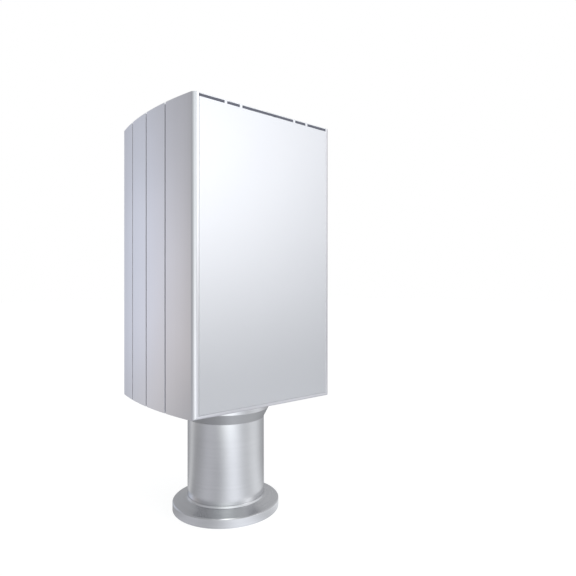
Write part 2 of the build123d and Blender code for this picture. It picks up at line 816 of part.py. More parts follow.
with BuildPart() as transformer_coil:
    with BuildSketch(Plane.XY.offset(core_z - window_h / 2 + coil_gap)):
        with Locations((core_x, core_y)):
            RectangleRounded(core_leg_w + 2 * window_w - 2 * coil_gap, coil_t, window_w / 3)
            Rectangle(core_leg_w + 2 * coil_gap, core_t + 2 * coil_gap, mode=Mode.SUBTRACT)
    extrude(amount=window_h - 2 * coil_gap)
transformer_coil.part.label = "transformer_coil"
export_step(transformer_coil.part, "parts/transformer_coil.step")

# Chips on the main board: one large, and two columns of small ones
small_chips = [(s * chip_column_x, housing_mid_z + (i - 1) * chip_row_pitch) for s in (-1, 1) for i in range(3)]
with BuildPart() as main_board_chips:
    with BuildSketch(Plane.XZ.offset(board_face_y)):
        with Locations((0, housing_mid_z)):
            Rectangle(chip_large, chip_large)
        with Locations(*small_chips):
            Rectangle(chip_small_w, chip_small_l)
    extrude(amount=-chip_t)
main_board_chips.part.label = "main_board_chips"
export_step(main_board_chips.part, "parts/main_board_chips.step")
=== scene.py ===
"""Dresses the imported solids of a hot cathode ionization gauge: finishes, fine details and a plain studio."""

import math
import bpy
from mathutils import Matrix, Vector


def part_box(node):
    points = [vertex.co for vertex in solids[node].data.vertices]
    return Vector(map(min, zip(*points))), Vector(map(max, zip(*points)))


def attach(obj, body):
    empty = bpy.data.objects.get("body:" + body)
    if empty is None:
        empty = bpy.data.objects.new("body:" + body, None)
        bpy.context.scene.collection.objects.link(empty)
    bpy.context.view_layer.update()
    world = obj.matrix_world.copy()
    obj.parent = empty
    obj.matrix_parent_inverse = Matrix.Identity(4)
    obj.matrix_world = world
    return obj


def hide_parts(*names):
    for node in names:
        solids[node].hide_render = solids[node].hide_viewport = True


bl_info = {
    "name": "Vacuum Gauge Dressing",
    "version": (1, 0, 0),
    "blender": (4, 5, 0),
    "location": "3D View > Sidebar > Gauge",
    "description": "Finishes, fine details and a studio for a hot cathode ionization gauge",
    "category": "Object",
}

import bmesh
import bpy
from bpy.props import FloatProperty, FloatVectorProperty, IntProperty, PointerProperty
from mathutils import Matrix, Vector

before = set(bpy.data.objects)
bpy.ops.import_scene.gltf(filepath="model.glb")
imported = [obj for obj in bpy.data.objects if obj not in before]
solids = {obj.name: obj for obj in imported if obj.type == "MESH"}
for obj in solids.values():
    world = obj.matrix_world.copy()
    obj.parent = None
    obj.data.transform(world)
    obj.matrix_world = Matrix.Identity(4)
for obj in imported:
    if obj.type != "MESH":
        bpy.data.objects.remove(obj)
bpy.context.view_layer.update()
MM = 0.001


# Shader and geometry trees


class Socket:
    """An output of a node tree. Arithmetic with it adds Math nodes to the tree."""

    def __init__(self, tree, output):
        self.tree = tree
        self.output = output

    def math(self, operation, *others):
        """Result of a Math node that has this output as its first value."""
        return self.tree.node("ShaderNodeMath", {"operation": operation}, dict(enumerate((self, *others))))

    def __add__(self, other):
        return self.math("ADD", other)

    def __sub__(self, other):
        return self.math("SUBTRACT", other)

    def __rsub__(self, other):
        return self.math("MULTIPLY_ADD", -1.0, other)

    def __mul__(self, other):
        return self.math("MULTIPLY", other)

    def __pow__(self, other):
        return self.math("POWER", other)

    __radd__ = __add__
    __rmul__ = __mul__


class Tree:
    """A node tree that is filled by one call for each node."""

    def __init__(self, tree):
        self.tree = tree
        tree.nodes.clear()

    def node(self, kind, settings=None, sockets=None, output=0):
        """Adds a node, sets it up, fills its sockets with values or links, and returns one of its outputs."""
        node = self.tree.nodes.new(kind)
        for name, value in (settings or {}).items():
            setattr(node, name, value)
        for name, value in (sockets or {}).items():
            if isinstance(value, Socket):
                self.tree.links.new(value.output, node.inputs[name])
            else:
                node.inputs[name].default_value = value
        return Socket(self, node.outputs[output]) if node.outputs else None


def grey(level):
    return (level, level, level, 1.0)


def opaque(colour):
    return (*colour, 1.0)


class Finish(Tree):
    """A material whose look follows the piece's own place."""

    def __init__(self, name):
        self.material = bpy.data.materials.new(name)
        self.material.use_nodes = True
        super().__init__(self.material.node_tree)
        self.place = self.node("ShaderNodeTexCoord", output="Object")

    def axis(self, letter):
        """One coordinate of the place, in millimetres."""
        return self.node("ShaderNodeSeparateXYZ", None, {"Vector": self.place}, letter) * (1 / MM)

    def radius(self):
        """Distance from the gauge's axis, in millimetres."""
        x, y = self.axis("X"), self.axis("Y")
        return (x * x + y * y) ** 0.5

    def noise(self, per_mm, detail=3.0, stretch=(1, 1, 1)):
        """Soft noise from 0 to 1, in cells per millimetre, drawn out along an axis where stretch is small."""
        scaled = self.node("ShaderNodeMapping", None, {"Vector": self.place, "Scale": stretch})
        cells = {"Vector": scaled, "Scale": per_mm / MM, "Detail": detail, "Roughness": 0.6}
        return self.node("ShaderNodeTexNoise", None, cells)

    def lines(self, along, per_mm, detail=2.0):
        """Noise that changes with one length only, as turning marks do."""
        cells = {"W": along * per_mm, "Scale": 1.0, "Detail": detail, "Roughness": 0.7}
        return self.node("ShaderNodeTexNoise", {"noise_dimensions": "1D"}, cells)

    def stripes(self, along, half_pitch, half_width):
        """One on stripes that repeat along a length in millimetres, and nought between them."""
        return along.math("PINGPONG", half_pitch).math("LESS_THAN", half_width)

    def blend(self, share, first, second):
        """Colour between two, by a share from 0 to 1."""
        settings = {"data_type": "RGBA", "clamp_factor": True}
        return self.node("ShaderNodeMix", settings, {0: share, 6: first, 7: second}, output=2)

    def spread(self, value, low, high):
        """A noise value's middle range, spread from one number to another."""
        return self.ramp(value, 0.3, 0.7, low, high)

    def ramp(self, value, start, stop, low=0.0, high=1.0, kind="LINEAR"):
        """A value that goes from low to high as another goes from start to stop, and stays between them."""
        ends = {"Value": value, "From Min": start, "From Max": stop, "To Min": low, "To Max": high}
        return self.node("ShaderNodeMapRange", {"interpolation_type": kind}, ends)

    def bump(self, height, depth_mm):
        """Normal of a surface that is raised by up to the depth."""
        return self.node("ShaderNodeBump", None, {"Height": height, "Distance": depth_mm * MM})

    def surface(self, **sockets):
        """Ends the tree in one Principled shader. Underscores in the names stand for spaces."""
        named = {name.replace("_", " "): value for name, value in sockets.items()}
        shader = self.node("ShaderNodeBsdfPrincipled", None, named)
        self.node("ShaderNodeOutputMaterial", None, {"Surface": shader})
        return self.material


def shade(colour, factor):
    return opaque([min(1.0, c * factor) for c in colour])


def blasted_aluminium(name, colour, roughness):
    """Fine blasted and anodised extrusion: matt grain, with faint draw lines along the bar."""
    f = Finish(name)
    grain = f.noise(4.0, 4.0)
    draw = f.noise(1.2, 3.0, (1, 1, 0.004))
    cloud = f.noise(0.03, 2.0)
    tint = f.spread(cloud * 0.6 + draw * 0.4, 0, 1)
    return f.surface(
        Base_Color=f.blend(tint, shade(colour, 0.96), shade(colour, 1.03)),
        Metallic=1.0,
        Roughness=f.spread(draw * 0.5 + grain * 0.5, roughness - 0.03, roughness + 0.04),
        Normal=f.bump(grain * 0.7 + draw * 0.3, 0.006),
    )


def brushed_sheet(name, colour, roughness):
    """Sheet brushed along its width, then anodised."""
    f = Finish(name)
    brush = f.noise(2.4, 4.0, (0.02, 1, 1))
    cloud = f.noise(0.05, 2.0)
    return f.surface(
        Base_Color=f.blend(f.spread(cloud, 0, 1), shade(colour, 0.95), shade(colour, 1.03)),
        Metallic=1.0,
        Roughness=f.spread(brush, roughness - 0.05, roughness + 0.06),
        Normal=f.bump(brush, 0.006),
    )


def satin_foil(name, colour):
    """Printed silver-white foil: half metallic satin with a very fine grain."""
    f = Finish(name)
    grain = f.noise(6.0, 2.0)
    cloud = f.noise(0.02, 2.0)
    return f.surface(
        Base_Color=f.blend(f.spread(cloud, 0, 1), shade(colour, 0.99), shade(colour, 1.01)),
        Metallic=0.55,
        Roughness=f.spread(grain, 0.28, 0.33),
        Normal=f.bump(grain, 0.0015),
    )


def print_ink(name, colour):
    """Screen print: matt ink with a slight uneven coat."""
    f = Finish(name)
    grain = f.noise(3.0, 3.0)
    return f.surface(
        Base_Color=f.blend(f.spread(grain, 0, 1), shade(colour, 0.92), shade(colour, 1.08)),
        Roughness=f.spread(grain, 0.42, 0.5),
        Normal=f.bump(grain, 0.002),
    )


# The tube's neck band: the share its colour keeps under painted shade, and its roughness.
NECK_PAINTED_SHADE = 0.74
COARSE_ROUGHNESS = 0.5


def turned_steel(name, colour, roughness, depth_mm, rough_painted_shade_band=None):
    """Turned stainless steel: rings of fine tool marks about the axis; between two heights rougher, and
    darkened with painted shade.
    """
    f = Finish(name)
    reach = f.radius() + f.axis("Z")
    marks = f.lines(reach, 9.0)
    broad = f.lines(reach, 1.3)
    cloud = f.noise(0.08, 3.0)
    base = f.blend(f.spread(cloud * 0.6 + broad * 0.4, 0, 1), shade(colour, 0.95), shade(colour, 1.04))
    gloss = f.spread(marks * 0.6 + cloud * 0.4, roughness - 0.05, roughness + 0.06)
    if rough_painted_shade_band:
        low, high = rough_painted_shade_band
        height = f.axis("Z")
        within = height.math("GREATER_THAN", low) * height.math("LESS_THAN", high)
        # Painted shade: the band's colour is darkened where the neck cone reflects the dark floor below it.
        base = f.blend(within, base, shade(colour, NECK_PAINTED_SHADE))
        gloss = gloss + within * (COARSE_ROUGHNESS - roughness)
    return f.surface(
        Base_Color=base,
        Metallic=1.0,
        Roughness=gloss,
        Normal=f.bump(marks, depth_mm),
    )


def plated_metal(name, colour, roughness):
    """Bright plating over small turned or stamped parts, a little uneven."""
    f = Finish(name)
    grain = f.noise(2.5, 3.0)
    cloud = f.noise(0.4, 2.0)
    return f.surface(
        Base_Color=f.blend(f.spread(cloud, 0, 1), shade(colour, 0.9), shade(colour, 1.05)),
        Metallic=1.0,
        Roughness=f.spread(grain, roughness - 0.05, roughness + 0.08),
        Normal=f.bump(grain, 0.003),
    )


def moulded_plastic(name, colour, roughness):
    """Moulded plastic with a fine spark-eroded grain."""
    f = Finish(name)
    grain = f.noise(5.0, 3.0)
    cloud = f.noise(0.2, 2.0)
    return f.surface(
        Base_Color=f.blend(f.spread(cloud, 0, 1), shade(colour, 0.85), shade(colour, 1.15)),
        Roughness=f.spread(grain, roughness - 0.05, roughness + 0.07),
        Normal=f.bump(grain, 0.004),
    )


def sintered_glass(name, colour):
    """Dark sealing glass with small bubbles under a smooth fired skin."""
    f = Finish(name)
    bubbles = f.node("ShaderNodeTexVoronoi", None, {"Vector": f.place, "Scale": 6000.0})
    spots = 1.0 - f.ramp(bubbles, 0.0, 0.25)
    return f.surface(
        Base_Color=f.blend(spots * 0.5, opaque(colour), shade(colour, 2.4)),
        Roughness=f.spread(f.noise(1.0), 0.1, 0.18),
        Normal=f.bump(spots, 0.004),
        Coat_Weight=0.6,
        Coat_Roughness=0.05,
    )


TRACK_PITCH = 1.24
TRACK_WIDTH = 0.28
RISING_SHARE = 0.4
LYING_SHARE = 0.3


def circuit_board(name, colour):
    """Solder mask over laminate: fields of raised tracks that run up or across, between bare fields."""
    f = Finish(name)
    across = f.axis("X")
    up = f.axis("Y") + f.axis("Z")
    square = {"distance": "CHEBYCHEV"}
    fields = f.node("ShaderNodeTexVoronoi", square, {"Vector": f.place, "Scale": 110.0}, "Color")
    kind = f.node("ShaderNodeSeparateColor", None, {"Color": fields})
    rising = kind.math("LESS_THAN", RISING_SHARE) * f.stripes(across, TRACK_PITCH / 2, TRACK_WIDTH / 2)
    lying = kind.math("GREATER_THAN", 1 - LYING_SHARE) * f.stripes(up, TRACK_PITCH / 2, TRACK_WIDTH / 2)
    track = rising + lying
    return f.surface(
        Base_Color=f.blend(track, shade(colour, 0.8), shade(colour, 1.4)),
        Roughness=f.spread(f.noise(1.0), 0.22, 0.32),
        Normal=f.bump(track, 0.02),
        Coat_Weight=0.3,
        Coat_Roughness=0.1,
    )


def fired_oxide(name, colour):
    """Chalky emissive coat on the cathodes."""
    f = Finish(name)
    grain = f.noise(9.0, 5.0)
    return f.surface(
        Base_Color=f.blend(f.spread(grain, 0, 1), shade(colour, 0.85), opaque(colour)),
        Roughness=0.9,
        Normal=f.bump(grain, 0.02),
    )


def rubber(name, colour):
    """Black rubber with a slight bloom."""
    f = Finish(name)
    cloud = f.noise(0.6, 3.0)
    return f.surface(
        Base_Color=f.blend(f.spread(cloud, 0, 1), opaque(colour), shade(colour, 1.8)),
        Roughness=f.spread(cloud, 0.6, 0.75),
        Normal=f.bump(f.noise(6.0), 0.004),
    )


# Sizes and colours that a user would change


def colour_setting(name, description, default):
    """A colour that a user may change."""
    limits = {"min": 0, "max": 1}
    return FloatVectorProperty(name=name, description=description, default=default, subtype="COLOR", **limits)


def length_setting(name, description, default_mm):
    """A length that a user may change."""
    return FloatProperty(name=name, description=description, default=default_mm * MM, min=0, unit="LENGTH")


class GaugeFinishes(bpy.types.PropertyGroup):
    """Colours of the gauge's main surfaces."""

    housing: colour_setting("Housing", "Anodised extrusion", (0.81, 0.81, 0.845))
    cover: colour_setting("Covers", "Brushed cover sheets", (0.66, 0.67, 0.69))
    foil: colour_setting("Foil", "Silver-white front foil", (0.72, 0.73, 0.765))
    ink: colour_setting("Print", "Bar printed on the foil", (0.14, 0.145, 0.19))
    steel: colour_setting("Steel", "Turned stainless steel", (0.725, 0.73, 0.745))


class GaugeSizes(bpy.types.PropertyGroup):
    """Sizes of the fine details."""

    flange_edge: length_setting("Flange Edge", "Radius of the flange's edges", 0.1)
    tube_edge: length_setting("Tube Edge", "Radius of the tube's edges", 0.3)
    facets: IntProperty(name="Facets", description="Faces round the turned parts", default=192, min=24)
    weld_bead: length_setting("Weld Bead", "Radius of the bead at the tube's foot", 0.17)
    housing_edge: length_setting("Housing Edge", "Width of the housing's rounded edges", 0.22)
    grid_wire: length_setting("Grid Wire", "Thickness of the anode grid's wire", 0.4)
    ribbon_width: length_setting("Ribbon", "Width of the cathodes' ribbon", 0.5)
    thread_pitch: length_setting("Thread Pitch", "Pitch of the screws' threads", 0.45)


class GaugeStudio(bpy.types.PropertyGroup):
    """Sizes of the studio."""

    floor_size: length_setting("Floor", "Side of the square floor", 6000)
    lens: FloatProperty(name="Lens", description="Focal length in millimetres", default=32.67, min=10)


def dress(node, material):
    """Gives a solid its finish in every material slot."""
    surfaces = solids[node].data.materials
    for i in range(len(surfaces)):
        surfaces[i] = material


class GAUGE_OT_finish_solids(bpy.types.Operator):
    """Give every solid of the gauge its finish"""

    bl_idname = "gauge.finish_solids"
    bl_label = "Finish Solids"

    def execute(self, context):
        colours = context.scene.gauge_finishes
        extrusion = blasted_aluminium("extrusion", colours.housing, 0.36)
        sheet = brushed_sheet("cover_sheet", colours.cover, 0.34)
        # The neck cone is rougher and gets painted shade.
        neck = (NECK_FOOT - 0.1, NECK_TOP)
        tube = turned_steel("tube_steel_turned", colours.steel, 0.2, 0.001, neck)
        flange = turned_steel("flange_steel_turned", colours.steel, 0.22, 0.0015)
        inner = turned_steel("inner_steel_turned", (0.55, 0.55, 0.56), 0.36, 0.004)
        zinc = plated_metal("zinc_plate", (0.66, 0.67, 0.7), 0.26)
        tin = plated_metal("tin_plate", (0.72, 0.7, 0.66), 0.24)
        gold = plated_metal("gold_flash", (0.85, 0.63, 0.3), 0.2)
        nickel = plated_metal("nickel_plate", (0.66, 0.63, 0.54), 0.28)
        alloy = plated_metal("pin_alloy_drawn", (0.55, 0.53, 0.48), 0.34)
        molybdenum = plated_metal("molybdenum_drawn", (0.45, 0.45, 0.46), 0.3)
        tungsten = plated_metal("tungsten_drawn", (0.35, 0.35, 0.36), 0.35)
        black = moulded_plastic("black_moulding", (0.025, 0.025, 0.028), 0.42)
        board = circuit_board("solder_mask", (0.02, 0.13, 0.05))
        finishes = {
            "housing": extrusion,
            "front_panel": satin_foil("front_foil", colours.foil),
            "front_panel_marks": print_ink("slate_print", colours.ink),
            "top_cover": sheet,
            "bottom_cover": sheet,
            "top_cover_screws": zinc,
            "bottom_cover_screws": zinc,
            "connector_shell": tin,
            "connector_insulator": black,
            "connector_contacts": gold,
            "connector_jack_screws": zinc,
            "connector_clinch_nuts": nickel,
            "port_flange": flange,
            "sensor_tube": tube,
            "tube_gasket": rubber("gasket_black", (0.02, 0.02, 0.02)),
            "clamp_ring": inner,
            "clamp_ring_screws": zinc,
            "feedthrough_header": inner,
            "glass_seals": sintered_glass("seal_glass", (0.03, 0.09, 0.08)),
            "feedthrough_pins": alloy,
            "anode_grid": molybdenum,
            "grid_rods": molybdenum,
            "cathode_filaments": fired_oxide("cathode_coat", (0.82, 0.82, 0.78)),
            "filament_posts": alloy,
            "ion_collector": tungsten,
            "main_board": board,
            "power_board": board,
            "sensor_board": board,
            "top_board": board,
            "pin_sockets": gold,
            "board_connectors": black,
            "electrometer_can": tin,
            "power_capacitors": moulded_plastic("capacitor_sleeve_blue", (0.03, 0.05, 0.11), 0.3),
            "transformer_core": moulded_plastic("ferrite_grey", (0.05, 0.05, 0.055), 0.6),
            "transformer_coil": moulded_plastic("coil_tape_yellow", (0.72, 0.52, 0.08), 0.4),
            "main_board_chips": moulded_plastic("chip_epoxy", (0.03, 0.03, 0.032), 0.5),
        }
        for node, material in finishes.items():
            dress(node, material)
        return {"FINISHED"}


# Shapes


# Edges above the crease angle stay hard. Faces that differ by less than the flat angle become one.

CREASE = math.radians(32)
FLAT = math.radians(0.4)

# In millimetres: how near points merge, and the circle that a turned section is swept along.

MERGE = 0.001
PATH_R = 1.0


class Maker(Tree):
    """A Geometry Nodes tree with named inputs, which ends in one mesh of one material."""

    def __init__(self, name, **inputs):
        group = bpy.data.node_groups.new(name, "GeometryNodeTree")
        super().__init__(group)
        sockets = group.interface
        sockets.new_socket("Geometry", in_out="INPUT", socket_type="NodeSocketGeometry")
        for label, kind in inputs.items():
            sockets.new_socket(label.replace("_", " "), in_out="INPUT", socket_type="NodeSocket" + kind)
        sockets.new_socket("Material", in_out="INPUT", socket_type="NodeSocketMaterial")
        sockets.new_socket("Geometry", in_out="OUTPUT", socket_type="NodeSocketGeometry")
        self.entry = group.nodes.new("NodeGroupInput")

    def given(self, name):
        """The tree's own input of that name."""
        return Socket(self, self.entry.outputs[name])

    def swept(self, path, profile, scale=1.0):
        """Skin of a profile along a path, closed at the ends of an open one."""
        sockets = {"Curve": path, "Profile Curve": profile, "Scale": scale, "Fill Caps": True}
        return self.node("GeometryNodeCurveToMesh", None, sockets)

    def circle(self, radius, steps):
        sizes = {"Resolution": steps, "Radius": radius}
        return self.node("GeometryNodeCurvePrimitiveCircle", {"mode": "RADIUS"}, sizes)

    def raised(self, shape, height):
        up = self.node("ShaderNodeCombineXYZ", None, {"Z": height})
        return self.node("GeometryNodeTransform", None, {"Geometry": shape, "Translation": up})

    def end(self, shape):
        """Makes copies real and gives the shape its material."""
        whole = self.node("GeometryNodeRealizeInstances", None, {"Geometry": shape})
        sockets = {"Geometry": whole, "Material": self.given("Material")}
        coated = self.node("GeometryNodeSetMaterial", None, sockets)
        self.node("NodeGroupOutput", None, {"Geometry": coated})
        return self

    def grow(self, start, material, **values):
        """Runs the tree on a mesh, and returns the plain mesh that it gives."""
        seed = bpy.data.objects.new("seed", start)
        bpy.context.scene.collection.objects.link(seed)
        shape = seed.modifiers.new("shape", "NODES")
        shape.node_group = self.tree
        given = {name.replace("_", " "): value for name, value in values.items()}
        given["Material"] = material
        for item in self.tree.interface.items_tree:
            if item.in_out == "INPUT" and item.name in given:
                shape[item.identifier] = given[item.name]
        return plain(seed)


def turning():
    """Tree that rounds the corners of a section and turns it about the gauge's axis."""
    t = Maker("turn_section", Edge_Radius="Float", Edge_Steps="Int", Facets="Int")
    section = t.node("GeometryNodeMeshToCurve", None, {"Mesh": t.given("Geometry")})
    rounding = {"Count": t.given("Edge Steps"), "Radius": t.given("Edge Radius"), "Limit Radius": True}
    rounded = t.node("GeometryNodeFilletCurve", {"mode": "POLY"}, {"Curve": section, **rounding})
    return t.end(t.swept(t.circle(PATH_R * MM, t.given("Facets")), rounded))


def welding():
    """Tree that lays a bead with fine ripples round the gauge's axis."""
    sizes = dict.fromkeys(("Radius", "Height", "Bead", "Ripples", "Depth"), "Float")
    t = Maker("lay_bead", Facets="Int", **sizes)
    along = t.node("GeometryNodeSplineParameter", None, None, "Factor") * t.given("Ripples") * math.tau
    swell = along.math("SINE") * t.given("Depth") + 1.0
    path = t.circle(t.given("Radius"), t.given("Facets"))
    return t.end(t.raised(t.swept(path, t.circle(t.given("Bead"), 10), swell), t.given("Height")))


def winding():
    """Tree that winds a round wire about the gauge's axis."""
    sizes = dict.fromkeys(("Turns", "Radius", "Height", "Low", "Wire"), "Float")
    t = Maker("wind_wire", Steps="Int", **sizes)
    radius = t.given("Radius")
    sizes = {"Resolution": t.given("Steps"), "Rotations": t.given("Turns"), "Height": t.given("Height")}
    path = t.node("GeometryNodeCurveSpiral", None, {"Start Radius": radius, "End Radius": radius, **sizes})
    return t.end(t.raised(t.swept(path, t.circle(t.given("Wire"), 8)), t.given("Low")))


def bending():
    """Tree that bends a flat ribbon along a path with rounded corners."""
    t = Maker("bend_ribbon", Bend="Float", Width="Float", Thickness="Float")
    path = t.node("GeometryNodeMeshToCurve", None, {"Mesh": t.given("Geometry")})
    rounding = {"Count": 6, "Radius": t.given("Bend"), "Limit Radius": True}
    rounded = t.node("GeometryNodeFilletCurve", {"mode": "POLY"}, {"Curve": path, **rounding})
    level = t.node("GeometryNodeSetCurveNormal", {"mode": "Z_UP"}, {"Curve": rounded})
    section = t.node(
        "GeometryNodeCurvePrimitiveQuadrilateral",
        {"mode": "RECTANGLE"},
        {"Width": t.given("Width"), "Height": t.given("Thickness")},
    )
    return t.end(t.swept(level, section))


def standing():
    """Tree that stands a copy of a shape on each point, turned about Z by chance."""
    t = Maker("stand_copies", Shape="Object", Spin="Float", Seed="Int")
    inside = {"transform_space": "RELATIVE"}
    shape = t.node("GeometryNodeObjectInfo", inside, {"Object": t.given("Shape")}, "Geometry")
    chance = {3: t.given("Spin"), 8: t.given("Seed")}
    spin = t.node("FunctionNodeRandomValue", {"data_type": "FLOAT"}, chance, 1)
    turn = t.node("ShaderNodeCombineXYZ", None, {"Z": spin})
    copies = {"Points": t.given("Geometry"), "Instance": shape, "Rotation": turn}
    return t.end(t.node("GeometryNodeInstanceOnPoints", None, copies))


def plain(thing):
    """The evaluated mesh of an object, which goes away with its modifiers."""
    graph = bpy.context.evaluated_depsgraph_get()
    mesh = bpy.data.meshes.new_from_object(thing.evaluated_get(graph))
    thing.modifiers.clear()
    start = thing.data
    bpy.data.objects.remove(thing)
    bpy.data.meshes.remove(start)
    return mesh


def chain(points, closed=False):
    """Mesh of edges through points given in millimetres."""
    mesh = bpy.data.meshes.new("chain")
    edges = [(i, i + 1) for i in range(len(points) - 1)]
    if closed:
        edges.append((len(points) - 1, 0))
    mesh.from_pydata([Vector(p) * MM for p in points], edges, [])
    return mesh


def ring(radius, z, sides=24, flats=0, reach=math.inf):
    """Points round the Z axis: a circle, or a polygon with its flats at the radius, cut off at the reach."""
    points = []
    for i in range(sides):
        angle = math.tau * i / sides
        r = radius
        if flats:
            r = min(reach, radius / math.cos(angle % (math.tau / flats) - math.pi / flats))
        points.append((r * math.cos(angle), r * math.sin(angle), z))
    return points


def loft(rings, hollow=False):
    """Mesh over rings of equally many points, closed at both ends, or joined round to its start if hollow."""
    shape = bmesh.new()
    rows = [[shape.verts.new(Vector(p) * MM) for p in points] for points in rings]
    pairs = list(zip(rows, rows[1:]))
    if hollow:
        pairs.append((rows[-1], rows[0]))
    else:
        shape.faces.new(rows[0])
        shape.faces.new(rows[-1])
    for low, high in pairs:
        for i, vertex in enumerate(low):
            j = (i + 1) % len(low)
            shape.faces.new((vertex, low[j], high[j], high[i]))
    bmesh.ops.recalc_face_normals(shape, faces=shape.faces)
    mesh = bpy.data.meshes.new("loft")
    shape.to_mesh(mesh)
    shape.free()
    return mesh


def dome(radius, z, end, sides=16):
    """Rings of a rounded pin end, from the full radius at z to the tip at the end."""
    steps = [math.radians(a) for a in (0, 30, 55, 75)]
    return [ring(radius * math.cos(a), z + (end - z) * math.sin(a), sides) for a in steps]


def stand(shape, places, material, spin=0.0, seed=0):
    """One mesh of copies of a shape at places given in millimetres."""
    pattern = bpy.data.objects.new("pattern", shape)
    mesh = standing().grow(chain(places), material, Shape=pattern, Spin=spin, Seed=seed)
    bpy.data.objects.remove(pattern)
    bpy.data.meshes.remove(shape)
    return mesh


def softened(node, width):
    """Merged copy of a solid, with its hard edges rounded off."""
    shape = bmesh.new()
    shape.from_mesh(solids[node].data)
    bmesh.ops.remove_doubles(shape, verts=shape.verts, dist=MERGE * MM)
    bmesh.ops.dissolve_limit(shape, angle_limit=FLAT, verts=shape.verts, edges=shape.edges)
    mesh = bpy.data.meshes.new(node)
    shape.to_mesh(mesh)
    shape.free()
    for name in [a.name for a in mesh.attributes if "normal" in a.name]:
        mesh.attributes.remove(mesh.attributes[name])
    mesh.materials.clear()
    mesh.materials.append(finish_of(node))
    mesh.shade_smooth()
    copy = bpy.data.objects.new(node, mesh)
    bpy.context.scene.collection.objects.link(copy)
    edges = copy.modifiers.new("edges", "BEVEL")
    edges.width = width * MM
    edges.segments = 2
    edges.limit_method = "ANGLE"
    edges.angle_limit = CREASE
    edges.harden_normals = True
    return plain(copy)


def finish_of(node):
    """The finish that a solid was given."""
    return solids[node].data.materials[0]


def add_piece(name, mesh, node=None, shaded=False):
    """Puts a finished mesh on the gauge as a piece, in the place of the solid that it stands for."""
    if not shaded:
        mesh.shade_smooth()
        mesh.set_sharp_from_angle(angle=CREASE)
    thing = bpy.data.objects.new(name, mesh)
    bpy.context.scene.collection.objects.link(thing)
    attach(thing, "root")
    if node:
        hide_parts(node)


# Places and sizes that the pieces share with the solids, in millimetres


def heights(node):
    """Lowest and highest point of a solid."""
    low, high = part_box(node)
    return low.z / MM, high.z / MM


def centred(count, pitch):
    """Places along a line, evenly spaced about nought."""
    return [(i - (count - 1) / 2) * pitch for i in range(count)]


FLANGE_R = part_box("port_flange")[1].x / MM
SHOULDER_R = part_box("sensor_tube")[1].x / MM
RIM_H = 3.5
SEAT_R = 13.1
SEAT_DEPTH = 3.0
CONE_SLOPE = math.tan(math.radians(15))
BORE_R = 12.5
TUBE_R = 14.45
COLLAR_R = 16.35
HEADER_SEAT_R = 13.45
SHOULDER_T = 1.5
COLLAR_H = 3.8
NECK_H = 3.6
NECK_TOP = heights("housing")[0] - COLLAR_H
NECK_FOOT = NECK_TOP - NECK_H

ROD_X = 7.0
POST_X = 4.0
POST_Y = 9.4
RODS = [(-ROD_X, 0, 0), (ROD_X, 0, 0)]
POSTS = [(x, y, 0) for x in (-POST_X, POST_X) for y in (-POST_Y, POST_Y)]
AXIS = [(0, 0, 0)]
HEADER_PINS = AXIS + RODS + POSTS
GRID_FOOT = heights("grid_rods")[0] + 2.5
GRID_R = 6.36
GRID_TURNS = 8.0
GRID_PITCH = 3.0
CATHODE_LENGTH = 20.0
CATHODE_TIP_X = 0.55

CONTACT_PITCH = 2.77
CONTACT_Y = 1.42
FRONT_ROW = [(x, -CONTACT_Y, 0) for x in centred(8, CONTACT_PITCH)]
REAR_ROW = [(x, CONTACT_Y, 0) for x in centred(7, CONTACT_PITCH)]
JACKS = [(-16.65, 0, 0), (16.65, 0, 0)]
COVER_SCREWS = [(-24.9, -20.7), (24.9, -20.7), (22.9, 23.5), (-22.9, 23.5)]
CLAMP_SCREW_R = 20.6
CLAMP_ANGLES = [math.radians(90 + 120 * i) for i in range(3)]
CLAMP_SCREWS = [(CLAMP_SCREW_R * math.cos(a), CLAMP_SCREW_R * math.sin(a)) for a in CLAMP_ANGLES]
HEX_R = 0.75

BOARD_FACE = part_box("main_board")[1].y / MM
BOARD_MIDDLE = sum(heights("main_board")) / 2
CHIP_X = 14
CHIP_STEP = 16
CHIP_HALF = 3
CONTROLLER_HALF = 6
LEG_W = 0.32
LEG_T = 0.15
CONTROLLER_LEGS = centred(12, 0.8)
CHIP_LEGS = centred(8, 1.0)
CAPACITOR_X = 15
CAPACITOR_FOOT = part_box("power_board")[0].y / MM
CAPACITOR_MIDDLE = BOARD_MIDDLE - 8.5
CAPACITORS = [(CAPACITOR_X, CAPACITOR_FOOT, CAPACITOR_MIDDLE + step) for step in centred(3, 10.5)]


class GAUGE_OT_turn_sensor(bpy.types.Operator):
    """Turn the flange and the sensor tube with rounded edges, and lay the weld between them"""

    bl_idname = "gauge.turn_sensor"
    bl_label = "Turn Sensor"

    def execute(self, context):
        sizes = context.scene.gauge_sizes
        lathe = turning()
        for name, node, edge, section in (
            ("flange_turned", "port_flange", sizes.flange_edge, flange_section()),
            ("tube_turned", "sensor_tube", sizes.tube_edge, tube_section()),
        ):
            start = chain([(r - PATH_R, -z, 0) for r, z in reversed(section)], closed=True)
            mesh = lathe.grow(start, finish_of(node), Edge_Radius=edge, Edge_Steps=4, Facets=sizes.facets)
            add_piece(name, mesh, node)
        bead = welding().grow(
            chain([]),
            turned_steel("weld_bead_steel", (0.6, 0.6, 0.62), 0.22, 0.001),
            Radius=TUBE_R * MM,
            Height=heights("port_flange")[1] * MM,
            Bead=sizes.weld_bead,
            Ripples=90.0,
            Depth=0.08,
            Facets=720,
        )
        add_piece("tube_weld", bead)
        return {"FINISHED"}


